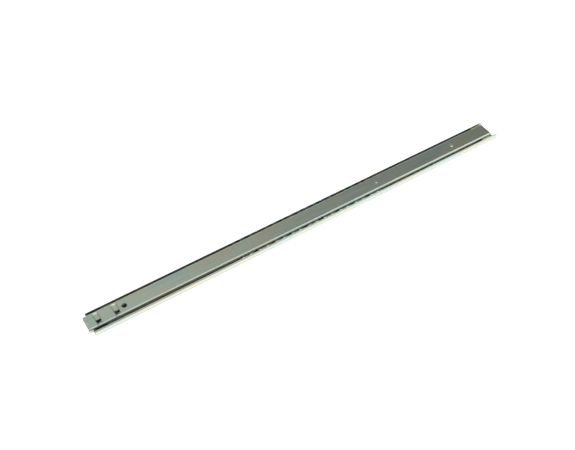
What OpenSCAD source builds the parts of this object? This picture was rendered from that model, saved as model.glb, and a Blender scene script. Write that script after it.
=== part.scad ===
// Two-member ball-bearing drawer slide, shown closed.
// X runs from the front of the cabinet to the back, Z from the cabinet side to the drawer side.
// The origin is the centre of the front fixing hole, on the back face of the cabinet member.

/* [Overall] */
// Length of the cabinet member
slide_length = 550; // [450:10:700]
// Width across the ball races
slide_width = 28.6; // [24:0.1:36]
// Thickness from the cabinet side to the drawer side
slide_depth = 10; // [9.8:0.1:12]
// How far the drawer member's face stands above the cabinet member's lips
face_stand = 1.1; // [1:0.1:2]

/* [Sheet steel] */
// Cabinet member's sheet
outer_sheet = 1; // [0.8:0.1:1.2]
// Drawer member's sheet
inner_sheet = 1; // [0.8:0.1:1.2]
// Ball retainer's sheet
retainer_sheet = 0.6; // [0.4:0.1:0.8]

/* [Balls and races] */
// Ball diameter
ball_d = 4.76; // [3.9:0.01:4.8]
// Gap between a ball and each race
race_clearance = 0.1; // [0.05:0.01:0.2]
// Gap between the top of a ball and the lip over it
lip_gap = 0.5; // [0.1:0.05:0.6]
// Half the angle that the cabinet member's race wraps round a ball
outer_wrap = 22; // [18:1:35]
// Angle of the drawer member's race from its middle up to the face bend
inner_wrap_up = 52; // [45:1:60]
// Angle of the drawer member's race from its middle down to its free edge
inner_wrap_down = 35; // [25:1:40]
// Outside radius of the cabinet member's back corners
back_corner_r = 2; // [1.5:0.1:2.5]
// Outside radius of the cabinet member's turned lips
lip_r = 1.3; // [1.1:0.1:1.6]
// Flat left on the turned lips beyond their bend
lip_flat = 0.2; // [0.1:0.05:0.4]

/* [Ball retainer] */
// Pairs of balls on each side
ball_pairs = 9; // [5:1:11]
// Distance from one pair to the next
pair_pitch = 22; // [18:1:28]
// Distance between the two balls of a pair
pair_spread = 9.5; // [7:0.5:11]
// From the last pair to the retainer's end
retainer_end = 10; // [8:0.5:14]
// Radial gap round a ball in its pocket
pocket_clearance = 0.06; // [0.02:0.01:0.1]
// How far the retainer's sides rise above the ball centres
retainer_rise = 2.1; // [1.5:0.1:2.2]
// Gap between the retainer and the cabinet member's floor
retainer_float = 0.7; // [0.5:0.05:0.8]
// How far the retainer's sides stand inside the ball centres
retainer_inset = 0.35; // [0.1:0.05:0.4]
// Outside radius of the retainer's two bends
retainer_bend = 1.2; // [0.9:0.1:1.5]
// Length of the relief cut between two pairs
relief_l = 6; // [3:0.5:6.5]
// How far the relief cuts reach below the ball centres
relief_drop = 1.8; // [1:0.1:2.4]

/* [Drawer member] */
// How far the drawer member stands out in front when closed
nose_l = 4.8; // [2:0.1:10]
// How far its rear end, with the stop, stays inside the cabinet member
rear_setback = 6; // [2:0.1:12]
// From its front end to the middle of the first hook
hook_first = 13.6; // [11:0.1:17]
// Distance between the two hooks
hook_pitch = 21; // [14:0.5:23]
// Width of each hook
hook_w = 5.2; // [4:0.1:7]
// Gap under a hook for the drawer's sheet
hook_gap = 1.2; // [1:0.1:1.6]
// Width of the flat left between a hook's root and the face bend
hook_margin = 0.4; // [0.2:0.1:1]
// Run of the slope that lifts a hook from the face
hook_run = 3.6; // [2:0.1:4]
// Opening left beyond a hook's tip
hook_mouth = 4.4; // [3:0.1:5]
// Width of the flat left between that opening and the other face bend
mouth_margin = 0.8; // [0.5:0.1:1.5]
// How far the ramp in front of a hook's tip is pressed below the face
ramp_drop = 1.8; // [1.2:0.1:2.5]
// Gap on each side of a hook where it was sheared from the face
hook_slit = 0.15; // [0.1:0.05:0.3]
// From the front end to the drawer screw hole
drawer_hole_at = 44.3; // [42:0.1:80]
// Diameter of the drawer screw hole
drawer_hole_d = 5.8; // [4.5:0.1:6.5]
// From the rear end to the rear pip
rear_pip_at = 56.5; // [20:0.5:80]
// Diameter of the rear pip
rear_pip_d = 5.2; // [3:0.1:7]
// Height of the rear pip
rear_pip_h = 0.5; // [0.3:0.05:0.7]
// From the rear end to the middle pip
middle_pip_at = 173; // [120:0.5:220]
// Diameter of the middle pip
middle_pip_d = 3.4; // [2:0.1:5]
// Height of the middle pip
middle_pip_h = 0.35; // [0.2:0.05:0.5]
// From the front end to the nose pip
nose_pip_at = 2.2; // [1.5:0.1:4]
// Diameter of the nose pip
nose_pip_d = 2.4; // [1.5:0.1:2.8]
// Height of the nose pip
nose_pip_h = 0.25; // [0.15:0.05:0.35]
// Length of the cut across the nose's upper corner
nose_cut = 2.6; // [1:0.1:3]

/* [Stops] */
// From the front end to the front bumper
bumper_at = 2; // [1:0.5:5]
// Length of the front bumper
bumper_l = 14; // [8:0.5:20]
// Thickness of the bumper's floor
bumper_floor = 1.2; // [0.8:0.1:1.5]
// Diameter of the peg that holds the bumper
bumper_peg_d = 3.9; // [3:0.1:5]
// How far the peg reaches into the cabinet member's floor
bumper_peg_l = 0.75; // [0.5:0.05:0.75]
// Radial gap round the peg
peg_fit = 0.05; // [0.02:0.01:0.1]
// Gap left at each stop at full travel
stop_gap = 0.5; // [0.3:0.1:1]
// Thickness of the rear stop's end plate
stop_plate = 0.8; // [0.6:0.1:1.5]
// Thickness of the rear stop's tongue
stop_tongue = 1.5; // [1:0.1:1.8]
// Diameter of the snap hole near the rear end of each rod
snap_hole_d = 1.8; // [1:0.1:2.2]
// From the rear stop's end plate to the middle of each snap hole
snap_hole_at = 1.6; // [1.4:0.1:4]
// Gap between moving plastic and steel
plastic_gap = 0.3; // [0.2:0.05:0.4]
// Gap between the fixed bumper and the steel round it
bumper_fit = 0.15; // [0.1:0.05:0.25]

/* [Fixing holes] */
// From the front end to the first fixing hole
fix_first = 37; // [28:1:64]
// Distance between fixing holes
fix_pitch = 160; // [96:32:224]
// Least distance from the last fixing hole to the rear end
fix_last = 20; // [15:1:40]
// Diameter of the fixing holes
fix_d = 4.6; // [4:0.1:5]

/* [Hidden] */
ball_r = ball_d / 2;
ball_ids = [for (i = [1:4 * ball_pairs]) i];
function ball_name(i) = str(i < 10 ? "ball_0" : "ball_", i);
eps = 0.2;                      // overlap that joins pieces of one solid, or carries a cut past a face
skin = 0.02;                    // keeps the top of such an overlap just under the face
round_facets = 48;
ball_facets = 64;
pip_facets = 96;
arc_step = 9;                   // degrees in each flat of a rolled bend

// Section of the races, in Y and Z
race_r = ball_r + race_clearance;
lip_z = slide_depth - face_stand;
ball_y = slide_width / 2 - outer_sheet - race_r;
ball_z = lip_z - outer_sheet - lip_gap - ball_r;
wall_y = ball_y + race_r * cos(outer_wrap) + outer_sheet;

// Section of the drawer member's face bend, tangent to its race and its flat face
bend_r = (slide_depth - ball_z - race_r * sin(inner_wrap_up)) / (1 + sin(inner_wrap_up));
bend_y = ball_y - (race_r + bend_r) * cos(inner_wrap_up);
bend_z = slide_depth - bend_r;
face_under = slide_depth - inner_sheet;
lip_edge = wall_y - lip_r - lip_flat;

// Places along X, from the cabinet member's front end
inner_front = -nose_l;
inner_rear = slide_length - rear_setback - stop_plate;
inner_l = inner_rear - inner_front;
retainer_l = (ball_pairs - 1) * pair_pitch + 2 * retainer_end;
retainer_mid = (slide_length + inner_front + slide_length - rear_setback) / 4;
retainer_front = retainer_mid - retainer_l / 2;
retainer_travel = retainer_front - bumper_at - bumper_l - stop_gap;
stop_front = retainer_front + retainer_l + retainer_travel + stop_gap;
retainer_top = ball_z + retainer_rise;
retainer_under = outer_sheet + retainer_float;
hook_root = bend_y - hook_margin;
mouth_end = mouth_margin - bend_y;
hook_tip = mouth_end + hook_mouth;
hook_top = slide_depth + hook_gap + inner_sheet;
fix_count = 1 + floor((slide_length - fix_last - fix_first) / fix_pitch);

// Points of an arc round c from angle a to angle b
function arc(c, r, a, b) = let (n = ceil(abs(b - a) / arc_step))
    [for (i = [0:n]) c + r * [cos(a + (b - a) * i / n), sin(a + (b - a) * i / n)]];
function mirrored(half) = concat(half, [for (i = [len(half) - 1:-1:0]) [-half[i][0], half[i][1]]]);

// A section drawn in Y and Z, carried along X from x by l
module along(x, l, section) {
    translate([x, 0, 0]) rotate([90, 0, 90]) linear_extrude(l) polygon(section);
}

// A round cut or peg through z0 to z1
module upright(x, y, d, z0, z1) {
    translate([x, y, z0]) cylinder(d = d, h = z1 - z0, $fn = round_facets);
}

// Half of the cabinet member's section: outside from the back to the lip, then inside again
function outer_half() = let (corner = [wall_y - back_corner_r, back_corner_r], ball = [ball_y, ball_z],
                             lip = [wall_y - lip_r, lip_z - lip_r],
                             outside = acos((wall_y - ball_y) / (race_r + outer_sheet)))
    concat([[0, 0]],
           arc(corner, back_corner_r, -90, 0),
           arc(ball, race_r + outer_sheet, -outside, outside),
           arc(lip, lip_r, 0, 90),
           [[lip_edge, lip_z], [lip_edge, lip_z - outer_sheet]],
           arc(lip, lip_r - outer_sheet, 90, 0),
           arc(ball, race_r, outer_wrap, -outer_wrap),
           arc(corner, back_corner_r - outer_sheet, 0, -90),
           [[0, outer_sheet]]);

// Half of the drawer member's section: face, bend, race and free edge, then inside again
function inner_half() = let (ball = [ball_y, ball_z], bend = [bend_y, bend_z])
    concat([[0, slide_depth]],
           arc(bend, bend_r, 90, -inner_wrap_up),
           arc(ball, race_r, 180 - inner_wrap_up, 180 + inner_wrap_down),
           arc(ball, race_r + inner_sheet, 180 + inner_wrap_down, 180 - inner_wrap_up),
           arc(bend, bend_r - inner_sheet, -inner_wrap_up, 90),
           [[0, face_under]]);

// Half of the ball retainer's section, a U with one bend
function retainer_half() = let (y = ball_y - retainer_inset + retainer_sheet / 2, r = retainer_bend,
                                bend = [y - r, retainer_under + r])
    concat([[0, retainer_under]],
           arc(bend, r, -90, 0),
           [[y, retainer_top], [y - retainer_sheet, retainer_top]],
           arc(bend, r - retainer_sheet, 0, -90),
           [[0, retainer_under + retainer_sheet]]);

// Roll-formed channel fixed to the cabinet side
module outer_member() {
    color("silver") difference() {
        along(0, slide_length, mirrored(outer_half()));
        for (i = [0:fix_count - 1]) upright(fix_first + i * fix_pitch, 0, fix_d, -eps, outer_sheet + eps);
        upright(bumper_at + bumper_l / 2, 0, bumper_peg_d + 2 * peg_fit, -eps, outer_sheet + eps);
    }
}

// A pip pressed up from the drawer member's face
module pip(x, d, h, side) {
    r = (pow(d / 2, 2) + pow(h, 2)) / (2 * h);
    centre = [x, 0, slide_depth + h - r];
    if (side == "raised") intersection() {
        translate(centre) sphere(r, $fn = pip_facets);
        upright(x, 0, d + eps, slide_depth - inner_sheet / 2, slide_depth + h + eps);
    }
    else intersection() {
        translate(centre) sphere(r - inner_sheet, $fn = pip_facets);
        upright(x, 0, d + eps, face_under - eps, slide_depth);
    }
}

module pips(side) {
    pip(inner_rear - rear_pip_at, rear_pip_d, rear_pip_h, side);
    pip(inner_rear - middle_pip_at, middle_pip_d, middle_pip_h, side);
    pip(inner_front + nose_pip_at, nose_pip_d, nose_pip_h, side);
}

// A tab sheared out of the face, sloped up from its root and open towards its tip
module hook(x) {
    along(x - hook_w / 2, hook_w, [
        [hook_root + eps, face_under], [hook_root + eps, slide_depth - skin],
        [hook_root, slide_depth - skin], [hook_root - hook_run, hook_top],
        [hook_tip, hook_top], [hook_tip, hook_top - inner_sheet],
        [hook_root - hook_run, hook_top - inner_sheet], [hook_root, face_under]]);
}

// The ramp that leads the drawer's sheet under a hook's tip
module ramp(x) {
    along(x - hook_w / 2, hook_w, [
        [mouth_end - eps, face_under], [mouth_end - eps, slide_depth - skin],
        [mouth_end, slide_depth - skin], [hook_tip, slide_depth - ramp_drop],
        [hook_tip, face_under - ramp_drop], [mouth_end, face_under]]);
}

module hook_window(x) {
    translate([x - hook_w / 2 - hook_slit, mouth_end, face_under - eps])
        cube([hook_w + 2 * hook_slit, hook_root - mouth_end, inner_sheet + 2 * eps]);
}

// Roll-formed channel fixed to the drawer, with its hooks, screw hole and pips
module inner_member() {
    hooks = [for (i = [0:1]) inner_front + hook_first + i * hook_pitch];
    color("silver") difference() {
        union() {
            difference() {
                along(inner_front, inner_l, mirrored(inner_half()));
                for (x = hooks) hook_window(x);
            }
            for (x = hooks) {
                hook(x);
                ramp(x);
            }
            pips("raised");
        }
        pips("hollow");
        upright(inner_front + drawer_hole_at, 0, drawer_hole_d, face_under - eps, slide_depth + eps);
        translate([0, 0, outer_sheet]) linear_extrude(slide_depth) polygon([
            [inner_front - eps, slide_width / 2], [inner_front - eps, bend_y - nose_cut / 2],
            [inner_front, bend_y - nose_cut / 2], [inner_front + nose_cut, slide_width / 2]]);
    }
}

function pair_x(i) = retainer_front + retainer_end + i * pair_pitch;

// Ball i: front to rear, two to a pair, left side then right side
function ball_x(i) = let (k = floor((i - 1) / 2))
    pair_x(floor(k / 2)) + (i % 2 == 1 ? -1 : 1) * pair_spread / 2;
function ball_side(i) = floor((i - 1) / 2) % 2 == 0 ? -1 : 1;

// Pressed U that spaces the balls; each pocket's mouth is narrower than its ball
module ball_retainer() {
    color("lightgray") difference() {
        along(retainer_front, retainer_l, mirrored(retainer_half()));
        for (i = [0:ball_pairs - 1], s = [-1, 1])
            translate([pair_x(i) + s * pair_spread / 2, 0, ball_z]) rotate([90, 0, 0])
                cylinder(r = ball_r + pocket_clearance, h = slide_width, center = true, $fn = ball_facets);
        for (i = [0:ball_pairs - 2])
            translate([pair_x(i) + (pair_pitch - relief_l) / 2, -slide_width / 2, ball_z - relief_drop])
                cube([relief_l, slide_width, slide_depth]);
    }
}

module ball(i) {
    color("white") translate([ball_x(i), ball_side(i) * ball_y, ball_z]) sphere(ball_r, $fn = ball_facets);
}

// Moulded U whose arms close the front of both races; a peg holds it in the floor
module front_bumper() {
    foot_y = wall_y - back_corner_r - bumper_fit;
    arm_out = wall_y - outer_sheet - bumper_fit;
    arm_in = bend_y + bend_r + plastic_gap;
    arm_top = lip_z - outer_sheet - lip_gap;
    floor_z = outer_sheet + bumper_floor;
    color("black") union() {
        along(bumper_at, bumper_l, mirrored([
            [0, outer_sheet], [foot_y, outer_sheet], [arm_out, back_corner_r + bumper_fit],
            [arm_out, arm_top], [arm_in, arm_top], [arm_in, floor_z], [0, floor_z]]));
        upright(bumper_at + bumper_l / 2, 0, bumper_peg_d, outer_sheet - bumper_peg_l, floor_z);
    }
}

// Moulded cap behind the drawer member; its two rods run in the races and stop the retainer
module rear_stop() {
    rod_r = race_r - plastic_gap;
    plate_y = bend_y + bend_r - plastic_gap;
    snap_x = inner_rear - snap_hole_at;
    color("lemonchiffon") difference() {
        union() {
            along(inner_rear, stop_plate, mirrored([
                [0, ball_z - rod_r], [plate_y, ball_z - rod_r], [plate_y, bend_z], [bend_y, face_under], [0, face_under]]));
            for (s = [-1, 1]) translate([stop_front, s * ball_y, ball_z]) rotate([0, 90, 0])
                cylinder(r = rod_r, h = inner_rear + stop_plate - stop_front, $fn = round_facets);
            translate([stop_front, -bend_y / 2, face_under - stop_tongue])
                cube([inner_rear + eps - stop_front, bend_y, stop_tongue]);
        }
        for (s = [-1, 1]) upright(snap_x, s * ball_y, snap_hole_d, 0, slide_depth);
    }
}

module placed() translate([-fix_first, 0, 0]) children();

placed() outer_member();
placed() inner_member();
placed() ball_retainer();
placed() front_bumper();
placed() rear_stop();
for (i = ball_ids) placed() ball(i);
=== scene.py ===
import math

import bmesh
import bpy
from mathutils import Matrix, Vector


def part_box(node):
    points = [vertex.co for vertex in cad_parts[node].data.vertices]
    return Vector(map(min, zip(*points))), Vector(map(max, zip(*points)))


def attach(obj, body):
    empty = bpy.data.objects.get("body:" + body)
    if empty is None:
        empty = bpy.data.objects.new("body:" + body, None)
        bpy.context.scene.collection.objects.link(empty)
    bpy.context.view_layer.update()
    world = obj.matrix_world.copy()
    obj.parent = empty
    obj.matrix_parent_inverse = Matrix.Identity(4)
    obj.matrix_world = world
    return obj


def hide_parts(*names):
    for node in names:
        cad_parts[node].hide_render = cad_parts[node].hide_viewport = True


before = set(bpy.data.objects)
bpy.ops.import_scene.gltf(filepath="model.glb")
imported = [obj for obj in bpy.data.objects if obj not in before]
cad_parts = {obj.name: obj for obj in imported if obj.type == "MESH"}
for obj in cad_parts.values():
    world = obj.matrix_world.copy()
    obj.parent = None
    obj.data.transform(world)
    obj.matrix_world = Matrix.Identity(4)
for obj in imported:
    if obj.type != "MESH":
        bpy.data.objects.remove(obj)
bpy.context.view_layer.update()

MM = 0.001


# ---------------------------------------------------------------- studio and camera
# The closed slide lies on its back on a seamless white table. One wide soft light hangs
# overhead, the walls glow near the table and fall off to grey above, as in a light tent.

def linear(hex_colour):
    """A hex sRGB colour as linear RGBA."""
    channels = [int(hex_colour[i:i + 2], 16) / 255 for i in (1, 3, 5)]
    return tuple(c / 12.92 if c <= 0.04045 else ((c + 0.055) / 1.055) ** 2.4 for c in channels) + (1.0,)


def add(tree, kind, inputs=None, **settings):
    """Adds a node with its settings; an input is a plain value or another node's output."""
    made = tree.nodes.new(kind)
    for name, value in settings.items():
        setattr(made, name, value)
    for socket, value in (inputs or {}).items():
        if isinstance(value, bpy.types.NodeSocket):
            tree.links.new(value, made.inputs[socket])
        else:
            made.inputs[socket].default_value = value
    return made


bpy.context.scene.view_settings.view_transform = "Standard"

tent = bpy.data.worlds.new("light_tent")
tent.use_nodes = True
bpy.context.scene.world = tent
tent.node_tree.nodes.clear()
direction = add(tent.node_tree, "ShaderNodeTexCoord")
parts = add(tent.node_tree, "ShaderNodeSeparateXYZ", {"Vector": direction.outputs["Generated"]})
back_wall = add(tent.node_tree, "ShaderNodeMapRange",
                {"Value": parts.outputs["X"], "From Min": 0.1, "From Max": 0.5,
                 "To Min": 0.66, "To Max": 0.17},
                interpolation_type="SMOOTHSTEP")
back_foot = add(tent.node_tree, "ShaderNodeMapRange",
                {"Value": parts.outputs["Z"], "From Min": 0.05, "From Max": 0.5,
                 "To Min": 0.7, "To Max": 0.0},
                interpolation_type="SMOOTHSTEP")
back = add(tent.node_tree, "ShaderNodeMath",
           {0: back_wall.outputs["Result"], 1: back_foot.outputs["Result"]}, operation="ADD")
front = add(tent.node_tree, "ShaderNodeMapRange",
            {"Value": parts.outputs["X"], "From Min": 0.2, "From Max": 0.55, "To Min": 0.08, "To Max": 1.1},
            interpolation_type="SMOOTHSTEP")
sides = add(tent.node_tree, "ShaderNodeMapRange",
            {"Value": parts.outputs["Y"], "From Min": -0.15, "From Max": 0.2, "To Min": 0.0, "To Max": 1.0},
            interpolation_type="SMOOTHSTEP")
glow = add(tent.node_tree, "ShaderNodeMix",
           {"Factor": sides.outputs["Result"], "A": front.outputs["Result"], "B": back.outputs[0]})
background = add(tent.node_tree, "ShaderNodeBackground",
                 {"Color": linear("#FBFFFA"), "Strength": glow.outputs["Result"]})
add(tent.node_tree, "ShaderNodeOutputWorld", {"Surface": background.outputs["Background"]})


def soft_light(name, size, watts, place, turn):
    """A rectangular soft light, sized in metres, facing down until it is turned."""
    lamp = bpy.data.lights.new(name, "AREA")
    lamp.shape = "RECTANGLE"
    lamp.size, lamp.size_y = size
    lamp.energy = watts
    light = bpy.data.objects.new(name, lamp)
    light.location = place
    light.rotation_euler = turn
    bpy.context.scene.collection.objects.link(light)


soft_light("overhead_softbox", (2.6, 1.0), 8.5, (0.5, -0.02, 1.35), (0, 0, 0))

table_half = 8.0
table_z = -0.2 * MM
table_corners = [(x * table_half, y * table_half, table_z) for x, y in ((-1, -1), (1, -1), (1, 1), (-1, 1))]
table_mesh = bpy.data.meshes.new("white_table")
table_mesh.from_pydata(table_corners, [], [(0, 1, 2, 3)])
table = bpy.data.objects.new("white_table", table_mesh)
bpy.context.scene.collection.objects.link(table)
table_paper = bpy.data.materials.new("backlit_white_acrylic")
table_paper.use_nodes = True
table_paper.node_tree.nodes.clear()
paper_shader = add(table_paper.node_tree, "ShaderNodeBsdfPrincipled",
                   {"Base Color": linear("#F0F0EE"), "Roughness": 0.9, "Specular IOR Level": 0.1,
                    "Emission Color": linear("#FFFFFF"), "Emission Strength": 0.9})
add(table_paper.node_tree, "ShaderNodeOutputMaterial", {"Surface": paper_shader.outputs["BSDF"]})
table.data.materials.append(table_paper)

outer_low, outer_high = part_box("outer_member")
lip_z = outer_high.z
camera_from_lip_corner = Vector((-74.7, -501.1, 710.3)) * MM
camera_turn = math.radians(32.47)
camera_dip = math.radians(50.02)
camera = bpy.data.objects.new("camera", bpy.data.cameras.new("camera"))
camera.data.sensor_width = 36
camera.data.lens = 50.61
camera.location = Vector((outer_low.x, 0, lip_z)) + camera_from_lip_corner
looks_along = Vector((math.sin(camera_turn) * math.cos(camera_dip),
                      math.cos(camera_turn) * math.cos(camera_dip), -math.sin(camera_dip)))
camera.rotation_mode = "QUATERNION"
camera.rotation_quaternion = looks_along.to_track_quat("-Z", "Y")
bpy.context.scene.collection.objects.link(camera)
bpy.context.scene.camera = camera


# ---------------------------------------------------------------- cabinet member
# A channel roll-formed from 1 mm strip steel, then zinc plated and passivated: a pale grey
# metal with a lengthwise grain and a faint green and straw blush. Screwed to the cabinet side.

sheet = 1.0 * MM
ball_low, ball_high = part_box("ball_01")
ball_r = (ball_high.z - ball_low.z) / 2
ball_z = (ball_high.z + ball_low.z) / 2
ball_y = -(ball_high.y + ball_low.y) / 2
race_clearance = 0.1 * MM
race_r = ball_r + race_clearance
sheared_edge = 0.1 * MM


def arc(centre, radius, start, end, step=6):
    """Points of an arc in a section, with angles in degrees."""
    count = max(2, math.ceil(abs(end - start) / step))
    turns = [math.radians(start + (end - start) * i / count) for i in range(count + 1)]
    return [(centre[0] + radius * math.cos(t), centre[1] + radius * math.sin(t)) for t in turns]


def both_sides(half):
    """A whole section from its right half, which runs from the middle out and back."""
    return half + [(-y, z) for y, z in reversed(half)]


def solid(name, vertices, faces):
    """A closed mesh object with its normals facing out."""
    shape = bmesh.new()
    made = [shape.verts.new(v) for v in vertices]
    for face in faces:
        shape.faces.new([made[i] for i in face])
    bmesh.ops.remove_doubles(shape, verts=shape.verts, dist=1e-7)
    bmesh.ops.recalc_face_normals(shape, faces=shape.faces)
    mesh = bpy.data.meshes.new(name)
    shape.to_mesh(mesh)
    shape.free()
    piece = bpy.data.objects.new(name, mesh)
    bpy.context.scene.collection.objects.link(piece)
    return piece


def capped(count):
    """The faces that join two copies of an outline of count points, with a cap on each."""
    caps = [tuple(range(count)), tuple(range(count, 2 * count))]
    return caps + [(i, (i + 1) % count, count + (i + 1) % count, count + i) for i in range(count)]


def rolled(name, section, start, end):
    """A section in Y and Z carried along X."""
    vertices = [(x, y, z) for x in (start, end) for y, z in section]
    return solid(name, vertices, capped(len(section)))


def prism(name, outline, axis, start, end):
    """An outline carried along axis "y" or "z": points are (x, z) or (x, y)."""
    def place(u, v, w):
        return (u, w, v) if axis == "y" else (u, v, w)
    vertices = [place(u, v, w) for w in (start, end) for u, v in outline]
    return solid(name, vertices, capped(len(outline)))


def settle(piece):
    """Makes a piece's modifiers part of its mesh."""
    whole = bpy.context.evaluated_depsgraph_get()
    finished = bpy.data.meshes.new_from_object(piece.evaluated_get(whole))
    piece.modifiers.clear()
    piece.data = finished


def press(piece, tools, operation):
    """Cuts the tools from a piece, or joins them to it, and throws the tools away."""
    for tool in tools:
        step = piece.modifiers.new("press", "BOOLEAN")
        step.operation = operation
        step.solver = "EXACT"
        step.object = tool
        settle(piece)
        bpy.data.objects.remove(tool)


def dress(piece, edge, turn=38):
    """Rounds a piece's sharp edges by edge metres and shades its curves smooth."""
    step = piece.modifiers.new("edge", "BEVEL")
    step.width = edge
    step.segments = 2
    step.limit_method = "ANGLE"
    step.angle_limit = math.radians(turn)
    step.use_clamp_overlap = False
    settle(piece)
    piece.data.polygons.foreach_set("use_smooth", [True] * len(piece.data.polygons))
    piece.data.set_sharp_from_angle(angle=math.radians(50))
    normals = piece.modifiers.new("flat_faces", "WEIGHTED_NORMAL")
    normals.keep_sharp = True
    normals.weight = 100
    settle(piece)


def plated_steel(name, base, blush, straw, roughness, grain_mm=(90, 0.5), patch_mm=(55, 14)):
    """Zinc-plated strip: lengthwise grain in gloss and height, and faint patches of passivation colour."""
    material = bpy.data.materials.new(name)
    material.use_nodes = True
    tree = material.node_tree
    tree.nodes.clear()
    place = add(tree, "ShaderNodeTexCoord").outputs["Object"]
    along, across = (1000 / size for size in grain_mm)
    grain_place = add(tree, "ShaderNodeMapping", {"Vector": place, "Scale": (along, across, across)})
    grain = add(tree, "ShaderNodeTexNoise",
                {"Vector": grain_place.outputs["Vector"], "Scale": 1.0, "Detail": 3.0, "Roughness": 0.6})
    along, across = (1000 / size for size in patch_mm)
    patch_place = add(tree, "ShaderNodeMapping", {"Vector": place, "Scale": (along, across, across)})
    patches = add(tree, "ShaderNodeTexNoise",
                  {"Vector": patch_place.outputs["Vector"], "Scale": 1.0, "Detail": 4.0, "Roughness": 0.55})
    tints = add(tree, "ShaderNodeValToRGB", {"Fac": patches.outputs["Fac"]})
    tints.color_ramp.elements[0].position = 0.34
    tints.color_ramp.elements[0].color = linear(blush)
    tints.color_ramp.elements[1].position = 0.66
    tints.color_ramp.elements[1].color = linear(straw)
    tints.color_ramp.elements.new(0.5).color = linear(base)
    streak = add(tree, "ShaderNodeMapRange",
                 {"Value": grain.outputs["Fac"], "From Min": 0.3, "From Max": 0.7,
                  "To Min": 0.93, "To Max": 1.05})
    colour = add(tree, "ShaderNodeVectorMath",
                 {0: tints.outputs["Color"], 1: streak.outputs["Result"]}, operation="MULTIPLY")
    gloss = add(tree, "ShaderNodeMapRange",
                {"Value": grain.outputs["Fac"], "From Min": 0.3, "From Max": 0.7,
                 "To Min": roughness - 0.04, "To Max": roughness + 0.05})
    bump = add(tree, "ShaderNodeBump",
               {"Height": grain.outputs["Fac"], "Strength": 0.25, "Distance": 0.01 * MM})
    shader = add(tree, "ShaderNodeBsdfPrincipled",
                 {"Base Color": colour.outputs[0], "Metallic": 1.0, "Roughness": gloss.outputs["Result"],
                  "Normal": bump.outputs["Normal"]})
    add(tree, "ShaderNodeOutputMaterial", {"Surface": shader.outputs["BSDF"]})
    return material


outer_wrap = 22
back_corner_r = 2.0 * MM
lip_r = 1.3 * MM
lip_flat = 0.2 * MM
wall_y = ball_y + race_r * math.cos(math.radians(outer_wrap)) + sheet
lip_edge = wall_y - lip_r - lip_flat
outside_wrap = math.degrees(math.acos((wall_y - ball_y) / (race_r + sheet)))
corner = (wall_y - back_corner_r, back_corner_r)
lip = (wall_y - lip_r, lip_z - lip_r)
ball_at = (ball_y, ball_z)
outer_section = both_sides(
    [(0, 0)] + arc(corner, back_corner_r, -90, 0)
    + arc(ball_at, race_r + sheet, -outside_wrap, outside_wrap)
    + arc(lip, lip_r, 0, 90) + [(lip_edge, lip_z), (lip_edge, lip_z - sheet)]
    + arc(lip, lip_r - sheet, 90, 0)
    + arc(ball_at, race_r, outer_wrap, -outer_wrap)
    + arc(corner, back_corner_r - sheet, 0, -90) + [(0, sheet)])
cabinet_member = rolled("cabinet_member", outer_section, outer_low.x, outer_high.x)

fixing_hole_r = 2.3 * MM
fixing_pitch = 160 * MM
bumper_low, bumper_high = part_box("front_bumper")
peg_hole_r = 2.0 * MM
fixing_count = 4
hole_places = [(i * fixing_pitch, fixing_hole_r) for i in range(fixing_count)]
hole_places.append(((bumper_low.x + bumper_high.x) / 2, peg_hole_r))
press(cabinet_member,
      [prism("punch", arc((x, 0), r, 0, 354), "z", -sheet, 2 * sheet) for x, r in hole_places], "DIFFERENCE")
dress(cabinet_member, sheared_edge)
cabinet_zinc = plated_steel("zinc_plated_strip_cabinet", "#C6CCC4", "#C0CBC8", "#CDCABC", 0.30)
cabinet_member.data.materials.clear()
cabinet_member.data.materials.append(cabinet_zinc)
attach(cabinet_member, "cabinet_side")
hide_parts("outer_member")


# ---------------------------------------------------------------- front bumper
# A U moulded in black thermoplastic rubber. Its arms close the front of both races and
# cushion the ball retainer; a peg on its floor snaps into the cabinet member.

def moulded(name, light, dark, roughness, speck_mm, depth_mm, sheen=0.0, glow=0.0):
    """A moulded plastic or rubber: fine spark-eroded texture and slightly uneven colour."""
    material = bpy.data.materials.new(name)
    material.use_nodes = True
    tree = material.node_tree
    tree.nodes.clear()
    place = add(tree, "ShaderNodeTexCoord").outputs["Object"]
    specks = add(tree, "ShaderNodeTexNoise", {"Vector": place, "Scale": 1000 / speck_mm, "Detail": 2.0})
    clouds = add(tree, "ShaderNodeTexNoise",
                 {"Vector": place, "Scale": 1000 / (20 * speck_mm), "Detail": 3.0})
    colour = add(tree, "ShaderNodeMix",
                 {"Factor": clouds.outputs["Fac"], "A": linear(dark), "B": linear(light)}, data_type="RGBA")
    gloss = add(tree, "ShaderNodeMapRange",
                {"Value": specks.outputs["Fac"], "From Min": 0.3, "From Max": 0.7,
                 "To Min": roughness - 0.06, "To Max": roughness + 0.08})
    bump = add(tree, "ShaderNodeBump",
               {"Height": specks.outputs["Fac"], "Strength": 0.5, "Distance": depth_mm * MM})
    shader = add(tree, "ShaderNodeBsdfPrincipled",
                 {"Base Color": colour.outputs["Result"], "Roughness": gloss.outputs["Result"],
                  "Normal": bump.outputs["Normal"], "Sheen Weight": sheen, "IOR": 1.5,
                  "Subsurface Weight": glow, "Subsurface Scale": 0.6 * MM})
    add(tree, "ShaderNodeOutputMaterial", {"Surface": shader.outputs["BSDF"]})
    return material


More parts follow.
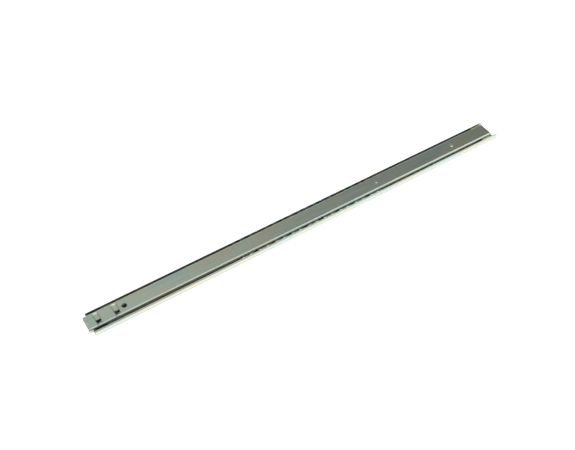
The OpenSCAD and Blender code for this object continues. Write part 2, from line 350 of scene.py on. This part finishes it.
face_z = 10.0 * MM
face_under = face_z - sheet
inner_wrap_up = 52
rise = math.sin(math.radians(inner_wrap_up))
bend_r = (face_z - ball_z - race_r * rise) / (1 + rise)
bend = (ball_y - (race_r + bend_r) * math.cos(math.radians(inner_wrap_up)), face_z - bend_r)
bend_outside = bend[0] + bend_r
arm_top = bumper_high.z
arm_out = bumper_high.y
plastic_gap = 0.3 * MM
arm_in = bend_outside + plastic_gap
bumper_fit = 0.15 * MM
floor_top = 2.2 * MM
arm_round = 0.5 * MM
bumper_section = both_sides(
    [(0, sheet), (corner[0] - bumper_fit, sheet), (arm_out, back_corner_r + bumper_fit)]
    + arc((arm_out - arm_round, arm_top - arm_round), arm_round, 0, 90, 15)
    + arc((arm_in + arm_round, arm_top - arm_round), arm_round, 90, 180, 15)
    + [(arm_in, floor_top), (0, floor_top)])
bumper = rolled("race_bumper", bumper_section, bumper_low.x, bumper_high.x)
bumper_middle = (bumper_low.x + bumper_high.x) / 2
peg_r = 1.95 * MM
peg_foot, peg_head = 0.25 * MM, floor_top - 0.1 * MM
press(bumper, [prism("peg", arc((bumper_middle, 0), peg_r, 0, 352, 8), "z", peg_foot, peg_head)], "UNION")
dress(bumper, 0.22 * MM)
bumper.data.materials.clear()
bumper.data.materials.append(
    moulded("black_thermoplastic_rubber", "#161716", "#0B0C0B", 0.52, 0.25, 0.012, 0.15))
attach(bumper, "cabinet_side")
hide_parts("front_bumper")


# ---------------------------------------------------------------- ball retainer and balls
# A U pressed from thin bright strip. Open pockets in its sides snap round the balls in
# pairs, and relief cuts between the pairs let it spring. The balls are hardened steel.

cage_low, cage_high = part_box("ball_retainer")
cage_sheet = 0.6 * MM
pocket_r = ball_r + 0.06 * MM
cage_inset = 0.35 * MM
cage_y = ball_y + cage_sheet / 2 - cage_inset
cage_bend_r = 1.2 * MM
cage_bend = (cage_y - cage_bend_r, cage_low.z + cage_bend_r)
cage_section = both_sides(
    [(0, cage_low.z)] + arc(cage_bend, cage_bend_r, -90, 0, 9)
    + [(cage_y, cage_high.z), (cage_y - cage_sheet, cage_high.z)]
    + arc(cage_bend, cage_bend_r - cage_sheet, 0, -90, 9) + [(0, cage_low.z + cage_sheet)])
cage = rolled("ball_cage", cage_section, cage_low.x, cage_high.x)

ball_names = [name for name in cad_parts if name.startswith("ball_") and name != "ball_retainer"]
ball_names.sort()
ball_places = sorted({round((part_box(name)[0].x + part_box(name)[1].x) / 2, 6) for name in ball_names})
press(cage, [prism("pocket", arc((x, ball_z), pocket_r, 0, 354), "y", -2 * ball_y, 2 * ball_y)
             for x in ball_places], "DIFFERENCE")
relief_half = 3.0 * MM
relief_floor = ball_z - 1.8 * MM
relief_round = 1.0 * MM
gaps = [(ball_places[i] + ball_places[i + 1]) / 2 for i in range(1, len(ball_places) - 1, 2)]


def relief(x):
    """The cut between two pairs of balls, with rounded lower corners."""
    reach = relief_half - relief_round
    outline = [(x + relief_half, 2 * ball_z), (x - relief_half, 2 * ball_z)]
    outline += arc((x - reach, relief_floor + relief_round), relief_round, 180, 270, 15)
    outline += arc((x + reach, relief_floor + relief_round), relief_round, 270, 360, 15)
    return prism("relief", outline, "y", -2 * ball_y, 2 * ball_y)


press(cage, [relief(x) for x in gaps], "DIFFERENCE")
dress(cage, 0.12 * MM)
cage.data.materials.clear()
cage.data.materials.append(
    plated_steel("zinc_plated_thin_strip", "#D6DAD5", "#D1D9D6", "#DADAD2", 0.24, (40, 0.35)))
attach(cage, "ball_cage")
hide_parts("ball_retainer")

bearing_steel = bpy.data.materials.new("oiled_bearing_steel")
bearing_steel.use_nodes = True
tree = bearing_steel.node_tree
tree.nodes.clear()
place = add(tree, "ShaderNodeTexCoord").outputs["Object"]
oil = add(tree, "ShaderNodeTexNoise", {"Vector": place, "Scale": 1000 / 1.5, "Detail": 3.0})
film = add(tree, "ShaderNodeMix",
           {"Factor": oil.outputs["Fac"], "A": linear("#D6D7D8"), "B": linear("#E9E8E4")}, data_type="RGBA")
gloss = add(tree, "ShaderNodeMapRange", {"Value": oil.outputs["Fac"], "From Min": 0.3, "From Max": 0.7,
                                         "To Min": 0.2, "To Max": 0.3})
shader = add(tree, "ShaderNodeBsdfPrincipled", {"Base Color": film.outputs["Result"], "Metallic": 1.0,
                                                "Roughness": gloss.outputs["Result"]})
add(tree, "ShaderNodeOutputMaterial", {"Surface": shader.outputs["BSDF"]})
for name in ball_names:
    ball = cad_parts[name]
    ball.data.materials.clear()
    ball.data.materials.append(bearing_steel)


# ---------------------------------------------------------------- drawer member
# A narrower channel of the same plated strip, with the inner races in its sides. Two hooks
# are sheared and lifted from its face to hang the drawer, and pips are pressed up from it.

inner_low, inner_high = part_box("inner_member")
inner_wrap_down = 35
crown = 2.4 * MM
crown_start = bend_outside - crown
crown_turns = [math.radians(6 * i) for i in range(16)]
inner_section = both_sides(
    [(0, face_z)]
    + [(crown_start + crown * math.sin(t), bend[1] + bend_r * math.cos(t)) for t in crown_turns]
    + arc(bend, bend_r, -6, -inner_wrap_up)
    + arc(ball_at, race_r, 180 - inner_wrap_up, 180 + inner_wrap_down)
    + arc(ball_at, race_r + sheet, 180 + inner_wrap_down, 180 - inner_wrap_up)
    + arc(bend, bend_r - sheet, -inner_wrap_up, 90) + [(0, face_under)])
drawer_member = rolled("drawer_member", inner_section, inner_low.x, inner_high.x)

hook_w = 5.2 * MM
hook_run = 3.6 * MM
hook_root = bend[0] - 0.4 * MM
mouth_end = 0.8 * MM - bend[0]
hook_tip = mouth_end + 4.4 * MM
hook_top = inner_high.z
hook_first, hook_pitch = 13.6 * MM, 21 * MM
hook_places = [inner_low.x + hook_first, inner_low.x + hook_first + hook_pitch]
hook_slit = 0.15 * MM
rolled_edge = 0.46 * MM


def window(x):
    """The opening that a hook leaves in the face, with corners as sharp as a punch leaves them."""
    left, right = x - hook_w / 2 - hook_slit, x + hook_w / 2 + hook_slit
    corner_r = 0.5 * MM
    outline = [(right, hook_root), (left, hook_root)]
    outline += arc((left + corner_r, mouth_end + corner_r), corner_r, 180, 270, 15)
    outline += arc((right - corner_r, mouth_end + corner_r), corner_r, 270, 360, 15)
    return prism("window", outline, "z", face_under - sheet, face_z + sheet)


def rolled_rim(x):
    """The wedge rolled off the face along the window's right side, where the punch drags it down."""
    side = x + hook_w / 2 + hook_slit
    wide, deep = 1.0 * MM, 0.5 * MM
    steps = [i / 6 for i in range(7)]
    outline = [(side - sheet, face_z - deep), (side - sheet, face_z + sheet), (side + wide, face_z + sheet)]
    outline += [(side + wide * (1 - t), face_z - deep * (1 - math.sqrt(1 - t * t))) for t in steps]
    return prism("rim", outline, "y", mouth_end + 0.3 * MM, hook_root - hook_run * 0.4)


def ramp(x):
    """The strip pressed down in front of a hook's tip, with a soft bend at its top."""
    drop = 1.8 * MM
    steps = [i / 8 for i in range(9)]
    run = hook_tip - mouth_end
    top = [(mouth_end + run * t, face_z - drop * (1.15 * t * t - 0.15 * t ** 4)) for t in steps]
    top = [(mouth_end - 0.2 * MM, face_z - 0.02 * MM)] + top
    outline = top + [(y, z - sheet) for y, z in reversed(top)]
    half = hook_w / 2
    vertices = [(x + side * half, y, z) for side in (-1, 1) for y, z in outline]
    return solid("ramp", vertices, capped(len(outline)))


def hook(x):
    """A strip that slopes up from its root, levels off and ends in a rounded tip, rolled at its top edges."""
    climb = hook_top - face_z
    slope = math.atan2(climb, hook_run)
    bend_mid = 1.4 * MM
    tangent = bend_mid * math.tan(slope / 2)
    thick = sheet * 0.98
    half = hook_w / 2
    middle_low, middle_high = face_z - sheet / 2, hook_top - sheet / 2
    stations = [(hook_root + 0.9 * MM, middle_low, 0.0, 1.0, 0.0)]
    centre = (hook_root + tangent, middle_low + bend_mid)
    for i in range(7):
        turn = slope * i / 6
        stations.append((centre[0] - bend_mid * math.sin(turn), centre[1] - bend_mid * math.cos(turn),
                         turn, 1.0, 0.0))
    centre = (hook_root - hook_run - tangent, middle_high - bend_mid)
    for i in range(7):
        turn = slope * (1 - i / 6)
        stations.append((centre[0] + bend_mid * math.sin(turn), centre[1] + bend_mid * math.cos(turn),
                         turn, 1.0, 0.0))
    tip_r = 0.9 * MM
    for i in range(9):
        turn = math.radians(90 * i / 8)
        narrow = (half - tip_r + tip_r * math.cos(turn)) / half
        out = hook_tip + tip_r * (1 - math.sin(turn))
        past = max(0.0, 1 - (out - hook_tip) / rolled_edge)
        stations.append((out, middle_high, 0.0, narrow, rolled_edge * (1 - math.sqrt(1 - past * past))))
    vertices, faces = [], []
    round_steps = [math.radians(90 * i / 4) for i in range(5)]
    for y, z, turn, narrow, drop in stations:
        wide = half * narrow
        top = thick / 2 - drop
        outline = [(-wide, -thick / 2), (wide, -thick / 2)]
        outline += [(wide - rolled_edge + rolled_edge * math.cos(a), top - rolled_edge * (1 - math.sin(a)))
                    for a in round_steps]
        outline += [(-wide + rolled_edge - rolled_edge * math.sin(a), top - rolled_edge * (1 - math.cos(a)))
                    for a in round_steps]
        for side, lift in outline:
            vertices.append((x + side, y + lift * math.sin(turn), z + lift * math.cos(turn)))
    count = 12
    for i in range(len(stations) - 1):
        near, far = count * i, count * (i + 1)
        faces += [(near + k, near + (k + 1) % count, far + (k + 1) % count, far + k) for k in range(count)]
    faces += [tuple(range(count)), tuple(range(len(vertices) - count, len(vertices)))]
    return solid("hook", vertices, faces)


def turned(name, profile, x, y=0.0, spokes=60):
    """A closed profile of (radius, height) points turned about an upright axis."""
    vertices, rings = [], []
    for radius, z in profile:
        count = spokes if radius > 0 else 1
        rings.append([len(vertices) + k for k in range(count)])
        turns = [2 * math.pi * k / spokes for k in range(count)]
        vertices += [(x + radius * math.cos(a), y + radius * math.sin(a), z) for a in turns]
    faces = []
    for upper, lower in zip(rings, rings[1:]):
        for k in range(spokes):
            after = k + 1
            ring = [upper[k % len(upper)], upper[after % len(upper)],
                    lower[after % len(lower)], lower[k % len(lower)]]
            faces.append(tuple(dict.fromkeys(ring)))
    return solid(name, vertices, faces)


def pip(x, across, high, y=0.0, sink=0.0):
    """A shallow dome with a soft foot, pressed up from the face."""
    radius = across / 2
    steps = [i / 10 for i in range(11)]
    foot = face_z - sink
    buried = foot - sheet / 2
    profile = [(radius * t, foot + high * (1 - t * t)) for t in steps[:-1]]
    profile += [(radius, foot - 0.005 * MM), (radius, buried), (0, buried)]
    return turned("pip", profile, x, y)


def round_punch(x, radius):
    """A punch that leaves the upper rim of its hole rolled over."""
    rim = 0.45 * MM
    profile = [(0, face_under - sheet), (radius, face_under - sheet)]
    profile += [(radius + rim * (1 - math.cos(t)), face_z - rim + rim * math.sin(t))
                for t in [math.radians(90 * i / 6) for i in range(7)]]
    profile += [(radius + rim, face_z + sheet), (0, face_z + sheet)]
    return turned("punch", profile, x)


rear_pip = (inner_high.x - 56.5 * MM, 5.2 * MM, 0.5 * MM)
middle_pip = (inner_high.x - 173 * MM, 3.4 * MM, 0.35 * MM)
nose_pip = (inner_low.x + 2.2 * MM, 2.4 * MM, 0.25 * MM)
drawer_hole_at, drawer_hole_r = inner_low.x + 44.3 * MM, 2.9 * MM
nose_cut = 2.6 * MM
nose_corner = [(inner_low.x - sheet, 2 * ball_y), (inner_low.x - sheet, bend[0] - nose_cut / 2),
               (inner_low.x, bend[0] - nose_cut / 2), (inner_low.x + nose_cut, 2 * ball_y)]
press(drawer_member, [window(x) for x in hook_places] + [rolled_rim(x) for x in hook_places], "DIFFERENCE")
press(drawer_member, [round_punch(drawer_hole_at, drawer_hole_r),
                      prism("shear", nose_corner, "z", sheet, face_z + sheet)], "DIFFERENCE")
press(drawer_member, [hook(x) for x in hook_places] + [ramp(x) for x in hook_places], "UNION")
press(drawer_member, [pip(x, across, high) for x, across, high in (rear_pip, middle_pip, nose_pip)], "UNION")
burr_across, burr_high, burr_sink = 1.8 * MM, 0.3 * MM, 0.03 * MM
burr_left, burr_y = 2.4 * MM, -bend[0] - 0.25 * MM
press(drawer_member,
      [pip(x - burr_left, burr_across, burr_high, burr_y, burr_sink) for x in hook_places], "UNION")
dress(drawer_member, sheared_edge)
drawer_zinc = plated_steel("zinc_plated_strip_drawer", "#BDC6B9", "#B3C3BC", "#C3C1B0", 0.30)
drawer_member.data.materials.clear()
drawer_member.data.materials.append(drawer_zinc)
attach(drawer_member, "drawer_side")
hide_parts("inner_member")


# ---------------------------------------------------------------- rear stop
# A cap moulded in natural nylon, pushed on to the drawer member's rear end. Its two rods
# lie in the races and stop the ball retainer at full travel; a tongue lies under the face.

stop_low, stop_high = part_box("rear_stop")
rod_r = race_r - plastic_gap
plate_y = bend_outside - plastic_gap
plate_section = both_sides([(0, ball_z - rod_r), (plate_y, ball_z - rod_r), (plate_y, bend[1]),
                            (bend[0], face_under), (0, face_under)])
stop = rolled("nylon_stop", plate_section, inner_high.x, stop_high.x)


def rod(side):
    """A rod with a domed end, lying in a race."""
    spokes, dome = 28, 5
    rings = [(stop_low.x + rod_r * 0.35 * (1 - math.cos(math.pi / 2 * i / dome)),
              rod_r * (0.55 + 0.45 * math.sin(math.pi / 2 * i / dome))) for i in range(dome + 1)]
    rings.append((stop_high.x - 0.05 * MM, rod_r))
    turns = [2 * math.pi * k / spokes for k in range(spokes)]
    vertices = [(x, side * ball_y + r * math.cos(a), ball_z + r * math.sin(a))
                for x, r in rings for a in turns]
    starts = [(i * spokes, (i + 1) * spokes) for i in range(len(rings) - 1)]
    faces = [(near + k, near + (k + 1) % spokes, far + (k + 1) % spokes, far + k)
             for near, far in starts for k in range(spokes)]
    faces += [tuple(range(spokes)), tuple(range(len(vertices) - spokes, len(vertices)))]
    return solid("rod", vertices, faces)


tongue_half = bend[0] / 2
tongue_end = inner_high.x + 0.2 * MM
tongue = prism("tongue", [(stop_low.x, -tongue_half), (tongue_end, -tongue_half),
                          (tongue_end, tongue_half), (stop_low.x, tongue_half)],
               "z", face_under - 1.5 * MM, face_under - 0.01 * MM)
press(stop, [rod(-1), rod(1), tongue], "UNION")
snap_x, snap_r = inner_high.x - 1.6 * MM, 0.9 * MM
press(stop, [turned("snap", [(0, 0), (snap_r, 0), (snap_r, face_z), (0, face_z)], snap_x, side * ball_y, 32)
             for side in (-1, 1)], "DIFFERENCE")
dress(stop, 0.18 * MM)
stop.data.materials.clear()
stop.data.materials.append(moulded("natural_nylon", "#DAD8B4", "#CFCB9C", 0.42, 0.3, 0.01, 0.0, 0.25))
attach(stop, "drawer_side")
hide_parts("rear_stop")
